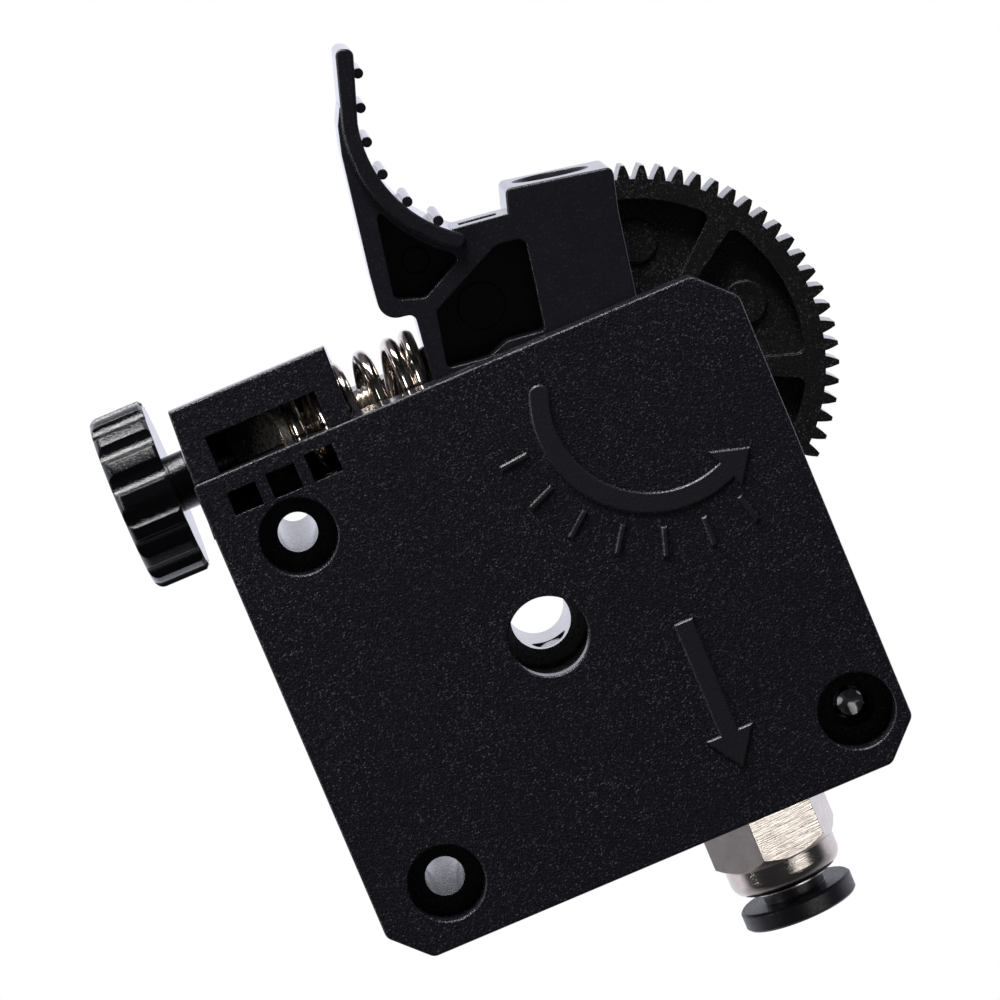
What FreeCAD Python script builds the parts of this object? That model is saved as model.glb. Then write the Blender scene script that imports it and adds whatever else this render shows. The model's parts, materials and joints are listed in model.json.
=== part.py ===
import FreeCAD, Part
import math
import os

# Geared filament extruder with a sprung idler lever, one solid per separate piece.
#
# Frame: the origin is the point where the motor axis meets the motor mounting face.
# X points right and Z points up, as seen from the front lid. Y points from the lid into the motor.
# Most pieces lie between the lid's front face and the motor face, so their places along Y are given
# as a depth below the lid's front face. All lengths are millimetres and all angles are degrees.

Vector = FreeCAD.Vector

# ---------------------------------------------------------------- driving dimensions
overall_depth = 23.5            # lid front face to motor mounting face
nema_half_pitch = 15.5          # NEMA 17 screw holes sit on a 31 mm square
module = 0.5                    # gear module
gear_teeth = 66
pinion_teeth = 22
gear_axis = 15.6                # drive axis, to the right of and above the motor axis
plane_depth = 9.0               # depth of the filament, hob, idler and tension screw
filament_x = 10.75              # filament path
spring_z = 22.4                 # height of the tension screw and its spring
lever_rest_tilt = 7.5           # lever leans right by this much with no filament loaded
motor_shaft_radius = 2.5

# ---------------------------------------------------------------- lid
lid_left = -21.8
lid_right = 24.9
lid_bottom = -20.8
lid_top = 22.6
corner_chamfer = 3.0
lid_thickness = 2.75
screw_clear_radius = 1.65       # clearance for M3
counterbore_radius = 3.18
counterbore_depth = 3.1
screw_boss_radius = 4.7
screw_boss_back = 4.6
lid_screw_x = 20.85
lid_screw_z = -15.6
lid_screw_boss_back = 8.0
lid_screw_boss_radius = 3.95
lid_screw_clear_radius = 1.8      # the bore behind the corner counterbore
lid_screw_tip = 4.7               # the screw comes from the back and ends here
lid_screw_head_recess = 3.2
pivot_boss_radius = 5.0         # the lever turns on this boss, around the motor axis
pivot_boss_back = 8.6
shaft_window_radius = 3.3
bearing_boss_radius = 5.7
shaft_window_lip = 1.6            # the window is wider behind this lip
shaft_window_relief = 4.0
mark_height = 0.16                # arrows and ticks stand this proud of the lid
mark_slope = 0.12
rim_break = 0.12                  # chamfer around the lid's holes

# ---------------------------------------------------------------- housing
wall = 2.4
back_plate_front = 19.6
inside_back = 21.0               # walls and bosses run this deep, into the back plate
housing_boss_radius = 4.4
pilot_radius = 11.1             # the motor's 22 mm raised face sits in this
pilot_depth = 2.1
gear_side_wall_top = -0.6       # the right wall stops below the gear
joint_gap = 0.05

# ---------------------------------------------------------------- tension block on the housing
block_left_low = -22.0
block_left_high = -21.3
block_right_low = -7.9
block_right_high = -7.65
block_bottom = 17.6
block_top = 28.85
block_front = 0.6
block_back = 16.5
block_top_fall = 1.6            # the top face falls away to the back
window_left = -19.35
window_right = -9.75
window_bottom = 18.6
window_top = 25.85
spring_bay_half = 4.3           # half height and half depth of the spring's square bay
spring_bay_left = -14.75
nut_bay_half_height = 2.8       # the nut's flats slide between this bay's floor and ceiling
nut_bay_half_depth = 3.3
bay_left = -19.4
ledge_right = -4.6              # ledge behind the lid's top edge, right of the block
ledge_back = 4.65
thin_ledge_back = 3.5           # it thins where the lever swings over it

# ---------------------------------------------------------------- gears, shaft and bearings
gear_front = 14.87
gear_width = 4.0
gear_tooth_angle = 66.2         # direction of one tooth centre at rest
rim_inner_radius = 14.2
gear_hub_radius = 5.0
rib_angle = 37.9
rib_half_angle = 4.2              # the ribs' sides point at the axis
web_corner_radius = 0.7
pinion_front = 14.4
pinion_width = 4.8
pinion_hub_front = 10.0
pinion_hub_radius = 4.5
hob_radius = 4.0
hob_front = 6.3
hob_back = 11.9
shaft_radius = 2.5
shaft_front = 2.6
shaft_back = 22.1
front_bearing_front = 2.4
rear_bearing_front = 19.65
small_bearing_width = 2.5         # bearings of the drive shaft: 5 x 8 x 2.5 mm
small_bearing_outer = 4.0
idler_radius = 5.0
idler_gap = 0.05                # idler to hob with no filament

# ---------------------------------------------------------------- lever, in its upright pose
lever_front = 3.6
lever_back = 13.7
pad_front = 3.0
pad_back = 15.0
pad_arc_x = 6.9
pad_arc_z = 42.95
pad_arc_radius = 10.85
strip_thickness = 1.3
pad_arc_start = 174.0
pad_arc_end = 241.5
ridge_radius = 0.43
ridge_stand_off = 0.36          # ridge centres above the strip's surface
ridge_angles = (167.3, 182.7, 198.6, 215.0, 231.2)
shoulder_top = 33.8
shoulder_back = 10.3
shoulder_step = 1.0              # the shoulder is lower behind that depth
pocket_floor = 8.0
pocket_floor_back = 11.0
inlet_x = 10.4
inlet_mouth_radius = 3.3
mouth_bottom = 31.5
mouth_height = 4.2
lever_edge_x = -3.5             # the edge that faces the spring
seat_z = 22.45                  # the spring seat's height on the upright lever
seat_length = 0.8
pivot_ring_radius = 7.25
pivot_ring_back = 8.3

# ---------------------------------------------------------------- tension screw, nut and spring
screw_radius = 1.45
screw_end_x = -5.2
wheel_left = -28.1
wheel_right = -23.4
wheel_radius = 7.5
wheel_flutes = 16
wheel_hub_radius = 2.4
nut_left = -18.0
nut_hex_length = 4.3
nut_across_flats = 5.5
nut_chamfer = 0.25
nut_flange = 0.75
nut_flange_radius = 3.95
spring_wire = 0.6
spring_outer_radius = 4.1
spring_left = -12.9
spring_right = -1.05
spring_turns = 4.9

# ---------------------------------------------------------------- push-fit tube coupler
hex_across_flats = 9.8
hex_turn = 14.0
coupler_top = -20.85
hex_bottom = -25.8
dome_bottom = -28.2
dome_radius = 4.8
dome_curve = 1.3
coupler_bore_radius = 3.2
coupler_bore_top = -21.6
tube_radius = 2.05
collet_neck_radius = 2.68
flange_radius = 4.9
flange_top = -29.35
flange_bottom = -31.0
ring_top = -25.6
jaws_bottom = -23.9
thread_top = -15.5
guide_bottom = -11.5
guide_top = 11.0


def y_at(depth):
    """Y of a place this deep below the lid's front face."""
    return depth - overall_depth


def rod(x, z, radius, front, back):
    """A cylinder along Y between two depths."""
    return Part.makeCylinder(radius, back - front, Vector(x, y_at(front), z), Vector(0, 1, 0))


def ring(x, z, outer, inner, front, back):
    return rod(x, z, outer, front, back).cut(rod(x, z, inner, front - 1, back + 1))


def rod_along_x(left, right, radius, z=spring_z, depth=plane_depth):
    return Part.makeCylinder(radius, right - left, Vector(left, y_at(depth), z), Vector(1, 0, 0))


def rod_along_z(x, bottom, top, radius, depth=plane_depth):
    return Part.makeCylinder(radius, top - bottom, Vector(x, y_at(depth), bottom), Vector(0, 0, 1))


def box(x0, x1, z0, z1, front, back):
    return Part.makeBox(x1 - x0, back - front, z1 - z0, Vector(x0, y_at(front), z0))


def outline(corners):
    """A closed wire in the XZ plane through (x, z, radius) corners, each rounded by its radius."""
    count = len(corners)
    points = [Vector(x, 0, z) for x, z, _ in corners]
    edges = []
    starts = []
    ends = []
    for i, (_, _, radius) in enumerate(corners):
        here = points[i]
        to_last = (points[i - 1] - here).normalize()
        to_next = (points[(i + 1) % count] - here).normalize()
        if radius == 0:
            starts.append(here)
            ends.append(here)
            edges.append(None)
            continue
        half = to_last.getAngle(to_next) / 2
        reach = radius / math.tan(half)
        middle = (to_last + to_next).normalize()
        centre = here + middle * (radius / math.sin(half))
        starts.append(here + to_last * reach)
        ends.append(here + to_next * reach)
        edges.append(Part.Arc(starts[i], centre - middle * radius, ends[i]).toShape())
    wire = []
    for i in range(count):
        if edges[i] is not None:
            wire.append(edges[i])
        following = starts[(i + 1) % count]
        if ends[i].distanceToPoint(following) > 1e-6:
            wire.append(Part.makeLine(ends[i], following))
    return Part.Wire(wire)


def prism(corners, front, back):
    """The outline of (x, z) or (x, z, radius) corners, extruded between two depths."""
    full = [tuple(c) + (0,) * (3 - len(c)) for c in corners]
    face = Part.Face(outline(full))
    solid = face.extrude(Vector(0, back - front, 0))
    solid.translate(Vector(0, y_at(front), 0))
    return solid


def polar(radius, angle, x=0.0, z=0.0):
    turn = math.radians(angle)
    return Vector(x + radius * math.cos(turn), 0, z + radius * math.sin(turn))


def arc_band(x, z, inner, outer, start, end, front, back):
    """Part of a ring around (x, z), between two directions and two depths."""
    middle = (start + end) / 2
    outer_points = [polar(outer, a, x, z) for a in (start, middle, end)]
    inner_points = [polar(inner, a, x, z) for a in (end, middle, start)]
    wire = Part.Wire([Part.Arc(*outer_points).toShape(),
                      Part.makeLine(outer_points[2], inner_points[0]),
                      Part.Arc(*inner_points).toShape(),
                      Part.makeLine(inner_points[2], outer_points[0])])
    solid = Part.Face(wire).extrude(Vector(0, back - front, 0))
    solid.translate(Vector(0, y_at(front), 0))
    return solid


def turned(profile, centre, axis):
    """Revolves an (axial, radius) profile around an axis through centre."""
    axis = Vector(*axis)
    side = Vector(0, 0, 1) if abs(axis.z) < 0.5 else Vector(1, 0, 0)
    points = [centre + axis * along + side * radius for along, radius in profile]
    wire = Part.makePolygon(points + [points[0]])
    return Part.Face(wire).revolve(centre, axis, 360)


def turned_y(x, z, profile):
    """Revolves a (depth, radius) profile around an axis along Y through (x, z)."""
    return turned(profile, Vector(x, y_at(0), z), (0, 1, 0))


def fuse_all(first, *others):
    return first.multiFuse([shape for shape in others]).removeSplitter()


def lean(shape):
    """Turns a lever shape from upright to its rest pose, about the motor axis."""
    shape.rotate(Vector(0, 0, 0), Vector(0, 1, 0), lever_rest_tilt)
    return shape


def front_edges(shape, depth):
    """Edges that lie in the plane at this depth."""
    place = y_at(depth)
    found = []
    for edge in shape.Edges:
        low, high = edge.BoundBox.YMin, edge.BoundBox.YMax
        if abs(low - place) < 1e-4 and abs(high - place) < 1e-4:
            found.append(edge)
    return found


# ---------------------------------------------------------------- lid and housing
def plate_corners():
    """The shared outline of lid and housing: square at top left, chamfered elsewhere."""
    soft = 0.9
    return [(lid_left, lid_top, 0.4),
            (lid_right - corner_chamfer, lid_top, soft),
            (lid_right, lid_top - corner_chamfer, soft),
            (lid_right, lid_bottom + corner_chamfer, soft),
            (lid_right - corner_chamfer, lid_bottom, soft),
            (lid_left + corner_chamfer, lid_bottom, soft),
            (lid_left, lid_bottom + corner_chamfer, soft)]


def raised_mark(shape):
    """Slopes the front edges of a mark that stands proud of the lid."""
    return shape.makeChamfer(mark_slope, front_edges(shape, -mark_height))


def straight_arrow():
    """Raised arrow that shows which way the filament leaves."""
    arrow_x = 10.55
    shaft_half = 0.82
    head_half = 2.1
    arrow_top = -3.15
    head_top = -13.1
    arrow_tip = -16.25
    arrow = prism([(arrow_x - shaft_half, arrow_top), (arrow_x + shaft_half, arrow_top),
                   (arrow_x + shaft_half, head_top), (arrow_x + head_half, head_top),
                   (arrow_x, arrow_tip), (arrow_x - head_half, head_top),
                   (arrow_x - shaft_half, head_top)], -mark_height, 0.5)
    return raised_mark(arrow)


def turning_arrow():
    """Raised arrow that shows which way the gear turns: an arc with a round tail and a head."""
    centre = 15.15
    inner = 8.08
    outer = 9.78
    tail = 158.0
    neck = 292.5
    head_inner = 6.8
    head_outer = 10.8
    tip_radius = 9.35
    tip_angle = 309.4
    band = arc_band(centre, centre, inner, outer, tail, neck, -mark_height, 0.5)
    end = polar((inner + outer) / 2, tail, centre, centre)
    cap = rod(end.x, end.z, (outer - inner) / 2, -mark_height, 0.5)
    corners = [polar(head_inner, neck, centre, centre), polar(head_outer, neck, centre, centre),
               polar(tip_radius, tip_angle, centre, centre)]
    head = prism([(p.x, p.z) for p in corners], -mark_height, 0.5)
    return raised_mark(fuse_all(band, cap, head))


def turning_ticks():
    """Seven short raised ticks around the turning arrow."""
    inner = 11.5
    outer = 14.0
    width = 0.5
    first = 186.0
    step = 16.6
    ticks = []
    for i in range(7):
        tick = raised_mark(box(inner, outer, -width / 2, width / 2, -mark_height, 0.5))
        tick.rotate(Vector(0, 0, 0), Vector(0, -1, 0), first + step * i)
        tick.translate(Vector(gear_axis, 0, gear_axis))
        ticks.append(tick)
    return ticks


def tension_marks():
    """Three growing square holes that show how far the nut has travelled."""
    first_left = -19.5
    spacing = 3.47
    side = 2.5
    mark_bottom = 19.05
    marks = []
    for i in range(3):
        left = first_left + spacing * i
        height = 2.0 + 0.2 * i
        marks.append(box(left, left + side, mark_bottom, mark_bottom + height, -1, 3))
    return marks


def rim_chamfer(x, z, radius):
    """Cutter that breaks the edge of a round hole in the lid's face."""
    return turned_y(x, z, [(-rim_break, 0), (-rim_break, radius + 2 * rim_break), (rim_break, radius),
                           (rim_break, 0)])


def front_lid():
    plate = prism(plate_corners(), 0, lid_thickness)
    plate = plate.makeFillet(0.2, front_edges(plate, 0))
    screw_places = [(-nema_half_pitch, nema_half_pitch), (-nema_half_pitch, -nema_half_pitch),
                    (lid_screw_x, lid_screw_z)]
    bosses = [rod(x, z, screw_boss_radius, 1, screw_boss_back) for x, z in screw_places[:2]]
    bosses.append(rod(lid_screw_x, lid_screw_z, lid_screw_boss_radius, 1, lid_screw_boss_back))
    bosses.append(rod(0, 0, pivot_boss_radius, 1, pivot_boss_back))
    bosses.append(rod(gear_axis, gear_axis, bearing_boss_radius, 1,
                      front_bearing_front + small_bearing_width))
    lid = fuse_all(plate, *bosses, straight_arrow(), turning_arrow(), *turning_ticks())
    holes = [rod(0, 0, shaft_window_radius, -1, 12),
             rim_chamfer(0, 0, shaft_window_radius),
             rod(0, 0, shaft_window_relief, shaft_window_lip, 12)]
    for x, z in screw_places:
        holes.append(rod(x, z, counterbore_radius, -1, counterbore_depth))
        holes.append(rim_chamfer(x, z, counterbore_radius))
    for x, z in screw_places[:2]:
        holes.append(rod(x, z, screw_clear_radius, -1, 12))
    holes.append(rod(lid_screw_x, lid_screw_z, lid_screw_clear_radius, -1, lid_screw_tip - 0.3))
    holes.append(rod(lid_screw_x, lid_screw_z, screw_radius + 0.02, -1, 12))
    holes.append(rod(gear_axis, gear_axis, small_bearing_outer + 0.01, front_bearing_front, 12))
    holes.append(rod(gear_axis, gear_axis, 3.2, 2.1, 12))
    return lid.cut([*holes, *tension_marks()])


def tension_block():
    """The box on the housing's top left corner that holds the tension nut and spring."""
    block = prism([(block_left_low, block_bottom), (block_left_high, block_top),
                   (block_right_high, block_top), (block_right_low, block_bottom)],
                  block_front, block_back)
    slope = Part.makePolygon([Vector(0, y_at(2.0), block_top),
                              Vector(0, y_at(block_back + 1), block_top - block_top_fall),
                              Vector(0, y_at(block_back + 1), block_top + 1),
                              Vector(0, y_at(2.0), block_top + 1),
                              Vector(0, y_at(2.0), block_top)])
    above = Part.Face(slope).extrude(Vector(20, 0, 0))
    above.translate(Vector(-25, 0, 0))
    block = block.cut(above)
    return block.makeFillet(0.2, front_edges(block, block_front))


def housing():
    back_plate = prism(plate_corners(), back_plate_front, overall_depth)
    solids = [
        box(lid_left, lid_left + wall, lid_bottom + 1.2, lid_top - 4, lid_thickness, inside_back),
        box(lid_left + 1.2, lid_right - 1.2, lid_bottom, lid_bottom + wall, lid_thickness, inside_back),
        box(lid_right - wall, lid_right, lid_bottom + 1.2, gear_side_wall_top, lid_thickness, inside_back),
        rod(-nema_half_pitch, nema_half_pitch, housing_boss_radius, screw_boss_back, inside_back),
        rod(-nema_half_pitch, -nema_half_pitch, housing_boss_radius, screw_boss_back, inside_back),
        box(lid_screw_x - 3.9, lid_right - 0.1, lid_bottom + 0.1, lid_screw_z + 4.1,
            lid_screw_boss_back, inside_back),
        box(filament_x - 5.6, filament_x + 5.6, lid_bottom, guide_bottom, lid_thickness, inside_back),
        tension_block(),
        box(block_right_low - 0.3, ledge_right, block_bottom, lid_top, lid_thickness, ledge_back),
        box(ledge_right - 0.1, -0.3, block_bottom, lid_top, lid_thickness, thin_ledge_back),
    ]
    body = fuse_all(back_plate, *solids)
    outside = prism(plate_corners(), -1, 30)
    keep = outside.fuse(box(-30, -5, block_bottom, 40, -1, 30))
    body = body.common(keep)
    bay_bottom = spring_z - spring_bay_half
    bay_top = spring_z + spring_bay_half
    bay_front = plane_depth - spring_bay_half
    bay_back = plane_depth + spring_bay_half
    cuts = [
        box(-30, 0, 0, lid_top + joint_gap, -1, lid_thickness),
        box(spring_bay_left, 0, bay_bottom, bay_top, bay_front, bay_back),
        box(bay_left, spring_bay_left + 0.1, spring_z - nut_bay_half_height,
            spring_z + nut_bay_half_height, plane_depth - nut_bay_half_depth,
            plane_depth + nut_bay_half_depth),
        box(window_left, window_right, window_bottom, window_top, -1,
            plane_depth - nut_bay_half_depth + 0.1),
        rod_along_x(-30, -15, 1.75),
        rod(0, 0, pilot_radius, overall_depth - pilot_depth, 30),
        rod(0, 0, 7.0, 15, 30),
        rod(gear_axis, gear_axis, small_bearing_outer + 0.01, 15,
            rear_bearing_front + small_bearing_width),
        rod(gear_axis, gear_axis, 3.2, 15, 22.7),
        rod(lid_screw_x, lid_screw_z, screw_clear_radius, 4, 30),
        rod(lid_screw_x, lid_screw_z, 3.0, overall_depth - lid_screw_head_recess, 30),
        rod(lid_screw_x, lid_screw_z, lid_screw_boss_radius + joint_gap, -1, lid_screw_boss_back),
        rod(nema_half_pitch, -nema_half_pitch, screw_clear_radius, 4, 30),
        rod(nema_half_pitch, -nema_half_pitch, 3.2, 4, back_plate_front + 1),
        rod_along_z(filament_x, lid_bottom - 1, thread_top, 3.0),
        rod_along_z(filament_x, lid_bottom - 1, 0, tube_radius + 0.05),
    ]
    for z in (nema_half_pitch, -nema_half_pitch):
        cuts.append(rod(-nema_half_pitch, z, screw_clear_radius, -1, 30))
        cuts.append(rod(-nema_half_pitch, z, screw_boss_radius + joint_gap, -1, screw_boss_back))
    return body.cut(cuts)


def lid_screw():
    """M3 socket-head cap screw from the back; its chamfered tip ends inside the lid's corner bore."""
    head_height = 3.0
    head_front = overall_depth - lid_screw_head_recess
    head_back = head_front + head_height
    head = rod(lid_screw_x, lid_screw_z, 2.75, head_front, head_back)
    head = head.makeChamfer(0.25, front_edges(head, head_back))
    tip_chamfer = 0.35
    shank = rod(lid_screw_x, lid_screw_z, screw_radius, lid_screw_tip, head_front + 0.5)
    shank = shank.makeChamfer(tip_chamfer, front_edges(shank, lid_screw_tip))
    socket_corner = 2.5 / 2 / math.cos(math.radians(30))
    corners = [polar(socket_corner, 60 * i, lid_screw_x, lid_screw_z) for i in range(6)]
    socket = prism([(p.x, p.z) for p in corners], head_back - 1.5, head_back + 1)
    return fuse_all(head, shank).cut(socket)


# ---------------------------------------------------------------- gears and shaft
def flank_points(teeth, side, centre_angle, backlash):
    """Three points of one involute flank, from root to tip, around the origin."""
    pitch_radius = module * teeth / 2
    base_radius = pitch_radius * math.cos(math.radians(20))
    tip_radius = pitch_radius + module
    root_radius = pitch_radius - 1.25 * module
    involute_at_pitch = math.tan(math.radians(20)) - math.radians(20)
    half_tooth = math.pi / 2 / teeth - backlash / pitch_radius / 2 + involute_at_pitch
    points = []
    for share in (0.0, 0.5, 1.0):
        radius = root_radius + (tip_radius - root_radius) * share
        roll = math.acos(min(1.0, base_radius / radius))
        turn = half_tooth - (math.tan(roll) - roll)
        points.append(polar(radius, centre_angle + side * math.degrees(turn)))
    return points


def gear_blank(teeth, tooth_angle, front, back, backlash=0.06):
    """A toothed disc around the origin, with one tooth centred on tooth_angle."""
    edges = []
    first = None
    last = None
    for i in range(teeth):
        centre = tooth_angle + 360.0 * i / teeth
        rising = flank_points(teeth, -1, centre, backlash)
        falling = flank_points(teeth, 1, centre, backlash)[::-1]
        if last is not None:
            edges.append(Part.makeLine(last, rising[0]))
        else:
            first = rising[0]
        edges.append(Part.Arc(*rising).toShape())
        edges.append(Part.makeLine(rising[2], falling[0]))
        edges.append(Part.Arc(*falling).toShape())
        last = falling[2]
    edges.append(Part.makeLine(last, first))
    solid = Part.Face(Part.Wire(edges)).extrude(Vector(0, back - front, 0))
    solid.translate(Vector(0, y_at(front), 0))
    return solid


def web_pocket(front, back):
    """One of the six pockets between the gear's ribs, pointing up."""
    half = 30.0 - rib_half_angle
    pocket = arc_band(0, 0, gear_hub_radius + 0.6, rim_inner_radius, 90 - half, 90 + half, front, back)
    corners = []
    for edge in pocket.Edges:
        if edge.BoundBox.YLength > 0.1:
            corners.append(edge)
    return pocket.makeFillet(web_corner_radius, corners)


def drive_gear():
    """Moulded 66-tooth gear with a recessed web, six ribs and a hub."""
    back = gear_front + gear_width
    web_front = gear_front + 1.1
    web_back = back - 0.9
    mark_circle = 10.6
    gear = gear_blank(gear_teeth, gear_tooth_angle, gear_front, back)
    pockets = []
    marks = []
    for i in range(6):
        pocket = web_pocket(gear_front - 1, web_front)
        pocket.rotate(Vector(0, 0, 0), Vector(0, -1, 0), rib_angle - 60 + 60 * i)
        pockets.append(pocket)
        spot = polar(mark_circle, rib_angle + 30 + 60 * i)
        mark = rod(spot.x, spot.z, 1.9, web_front - 0.2, web_front + 0.5)
        marks.append(mark.makeChamfer(0.12, front_edges(mark, web_front - 0.2)))
    gear = gear.cut([*pockets, ring(0, 0, rim_inner_radius, gear_hub_radius, web_back, back + 1)])
    hub = rod(0, 0, gear_hub_radius, gear_front - 0.45, back + 0.3)
    gear = fuse_all(gear, hub, *marks)
    gear = gear.cut(rod(0, 0, shaft_radius, 0, 30))
    gear.translate(Vector(gear_axis, 0, gear_axis))
    return gear


def motor_pinion():
    """Steel 22-tooth pinion, its teeth in mesh with the gear at rest."""
    mesh_line = 45.0
    tooth_pitch = 360.0 / gear_teeth
    lag = (mesh_line + 180 - gear_tooth_angle) % tooth_pitch
    gap_angle = mesh_line + lag * gear_teeth / pinion_teeth
    tooth_angle = gap_angle + 180.0 / pinion_teeth
    teeth = gear_blank(pinion_teeth, tooth_angle, pinion_front, pinion_front + pinion_width)
    hub = rod(0, 0, pinion_hub_radius, pinion_hub_front, pinion_front + 0.5)
    pinion = fuse_all(teeth, hub)
    grub_hole = Part.makeCylinder(1.5, 8, Vector(0, y_at(12.2), 0), Vector(0, 0, -1))
    return pinion.cut([rod(0, 0, motor_shaft_radius + 0.01, 0, 30), grub_hole])


def pinion_grub_screw():
    top = -motor_shaft_radius - 0.05
    screw = Part.makeCylinder(1.48, 2.0, Vector(0, y_at(12.2), top), Vector(0, 0, -1))
    corner = 1.5 / 2 / math.cos(math.radians(30))
    points = [Vector(corner * math.cos(math.radians(60 * i)),
                     y_at(12.2) + corner * math.sin(math.radians(60 * i)), top - 2.5)
              for i in range(6)]
    socket = Part.Face(Part.makePolygon(points + [points[0]])).extrude(Vector(0, 0, 1.6))
    return screw.cut(socket)


def drive_shaft():
    """Shaft with the hobbed, grooved section that grips the filament."""
    groove = 0.95
    shaft = rod(gear_axis, gear_axis, shaft_radius, shaft_front, shaft_back)
    hob = turned_y(gear_axis, gear_axis, [(hob_front, 0), (hob_front, hob_radius - 0.3),
                                          (hob_front + 0.3, hob_radius), (hob_back - 0.3, hob_radius),
                                          (hob_back, hob_radius - 0.3), (hob_back, 0)])
    shaft = fuse_all(shaft, hob)
    centre = Vector(gear_axis, y_at(plane_depth), gear_axis)
    groove_ring = Part.makeTorus(hob_radius + groove - 0.3, groove, centre, Vector(0, 1, 0))
    notches = []
    for i in range(30):
        spot = polar(hob_radius + 0.05, 12 * i, gear_axis, gear_axis)
        notches.append(rod(spot.x, spot.z, 0.22, plane_depth - 1.1, plane_depth + 1.1))
    return shaft.cut([groove_ring, *notches])


# ---------------------------------------------------------------- ball bearings
def bearing(x, z, front, width, bore, outer, balls):
    """Races, balls and shields of one ball bearing around an axis along Y."""
    race_inner = bore + (outer - bore) * 0.30
    race_outer = bore + (outer - bore) * 0.72
    pitch = (race_inner + race_outer) / 2
    ball = (race_outer - race_inner) / 2 + (outer - bore) * 0.09
    middle = front + width / 2
    shield = 0.15
    raceway = Part.makeTorus(pitch, ball + 0.02, Vector(x, y_at(middle), z), Vector(0, 1, 0))
    inner_ring = ring(x, z, race_inner, bore, front, front + width).cut(raceway)
    outer_ring = ring(x, z, outer, race_outer, front, front + width).cut(raceway)
    seat_front = ring(x, z, race_outer + 0.2, 0.1, front + 0.05, front + 0.05 + shield)
    seat_back = ring(x, z, race_outer + 0.2, 0.1, front + width - 0.05 - shield, front + width - 0.05)
    outer_ring = outer_ring.cut([seat_front, seat_back])
    plates = []
    for place in (front + 0.05, front + width - 0.05 - shield):
        plates.append(ring(x, z, race_outer + 0.19, race_inner + 0.06, place, place + shield))
    spheres = []
    for i in range(balls):
        spot = polar(pitch, 360.0 * i / balls, x, z)
        spheres.append(Part.makeSphere(ball, Vector(spot.x, y_at(middle), spot.z)))
    return {"inner": inner_ring, "outer": outer_ring,
            "balls": Part.makeCompound(spheres), "shields": Part.makeCompound(plates)}


def idler_centre():
    """Where the idler's axle is at rest: level with the drive axis, against the hob."""
    return gear_axis - hob_radius - idler_radius - idler_gap, gear_axis


# ---------------------------------------------------------------- lever
def thumb_pad():
    """The curved, ridged pad that opens the lever."""
    outer = pad_arc_radius + strip_thickness
    band = arc_band(pad_arc_x, pad_arc_z, pad_arc_radius, outer, pad_arc_start - 1, pad_arc_end,
                    pad_front, pad_back)
    end = polar((pad_arc_radius + outer) / 2, pad_arc_end, pad_arc_x, pad_arc_z)
    cap = rod(end.x, end.z, strip_thickness / 2, pad_front, pad_back)
    low_right = polar(pad_arc_radius, pad_arc_start, pad_arc_x, pad_arc_z)
    low_left = polar(outer, pad_arc_start, pad_arc_x, pad_arc_z)
    tip_right = -2.66
    tip_left = -4.1
    tip_top = 50.2
    tip = prism([(low_right.x, low_right.z), (tip_right, tip_top - 0.2, 0.6),
                 (tip_left, tip_top + 0.2, 0.6), (low_left.x, low_left.z)], pad_front, pad_back)
    strip = fuse_all(band, cap, tip)
    strip = strip.makeFillet(0.2, front_edges(strip, pad_front))
    centres = [polar(pad_arc_radius - ridge_stand_off, angle, pad_arc_x, pad_arc_z)
               for angle in ridge_angles]
    centres.append(Vector(-2.8, 0, 48.0))
    ridges = [rod(place.x, place.z, ridge_radius, pad_front + 0.3, pad_back - 0.3)
              for place in centres]
    return fuse_all(strip, *ridges)


def lever_pockets(front, back):
    """The two moulded pockets of the lever's web, between two depths."""
    rim = 0.45
    upper = prism([(-4.8, 29.45, 0.7), (-2.3, 28.95, 0.7), (1.15, 31.25, 0.5), (0.4, 32.6),
                   (0.4, 36.6), (-4.4, 36.6, 0.6)], front, back)
    upper = upper.cut(rod(pad_arc_x, pad_arc_z, pad_arc_radius + strip_thickness + rim, -5, 30))
    lower = prism([(-1.75, 27.7, 0.5), (4.3, 31.6, 1.6), (6.8, 31.6, 0.7), (6.4, 23.8, 0.35),
                   (3.2, 23.8, 0.8), (1.4, 22.9, 0.5), (-2.1, 22.9, 0.4)], front, back)
    return [upper, lower]


def lever_web():
    """The lever's flat middle, with the shoulder and the block around the filament inlet."""
    web = prism([(-4.98, 45.7), (-5.5, 44.3), (-5.82, 42.0), (-6.2, 32.0), (-6.2, 28.05, 1.5),
                 (lever_edge_x, 27.95, 0.6), (lever_edge_x, 15.0), (-0.55, 15.0), (-0.55, 19.6),
                 (1.9, 22.2), (1.9, 45.7)], lever_front, lever_back)
    web = web.cut(rod(pad_arc_x, pad_arc_z, pad_arc_radius + strip_thickness / 2, -5, 30))
    shoulder = prism([(1.2, 22.2), (6.8, 22.2), (6.8, shoulder_top), (1.2, shoulder_top)],
                     lever_front, shoulder_back)
    rear_top = shoulder_top - shoulder_step
    shoulder_rear = prism([(1.2, 22.2), (6.8, 22.2), (6.8, rear_top), (1.2, rear_top)],
                          lever_front + 1, lever_back)
    head = prism([(5.9, 22.6), (14.3, 24.0), (14.7, 31.7), (15.1, 34.6), (15.05, 35.25, 0.5),
                  (6.25, 35.8, 0.5), (5.9, shoulder_top)], lever_front, lever_back)
    head = head.makeFillet(0.2, front_edges(head, lever_front))
    return fuse_all(web, shoulder, shoulder_rear, head)


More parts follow.
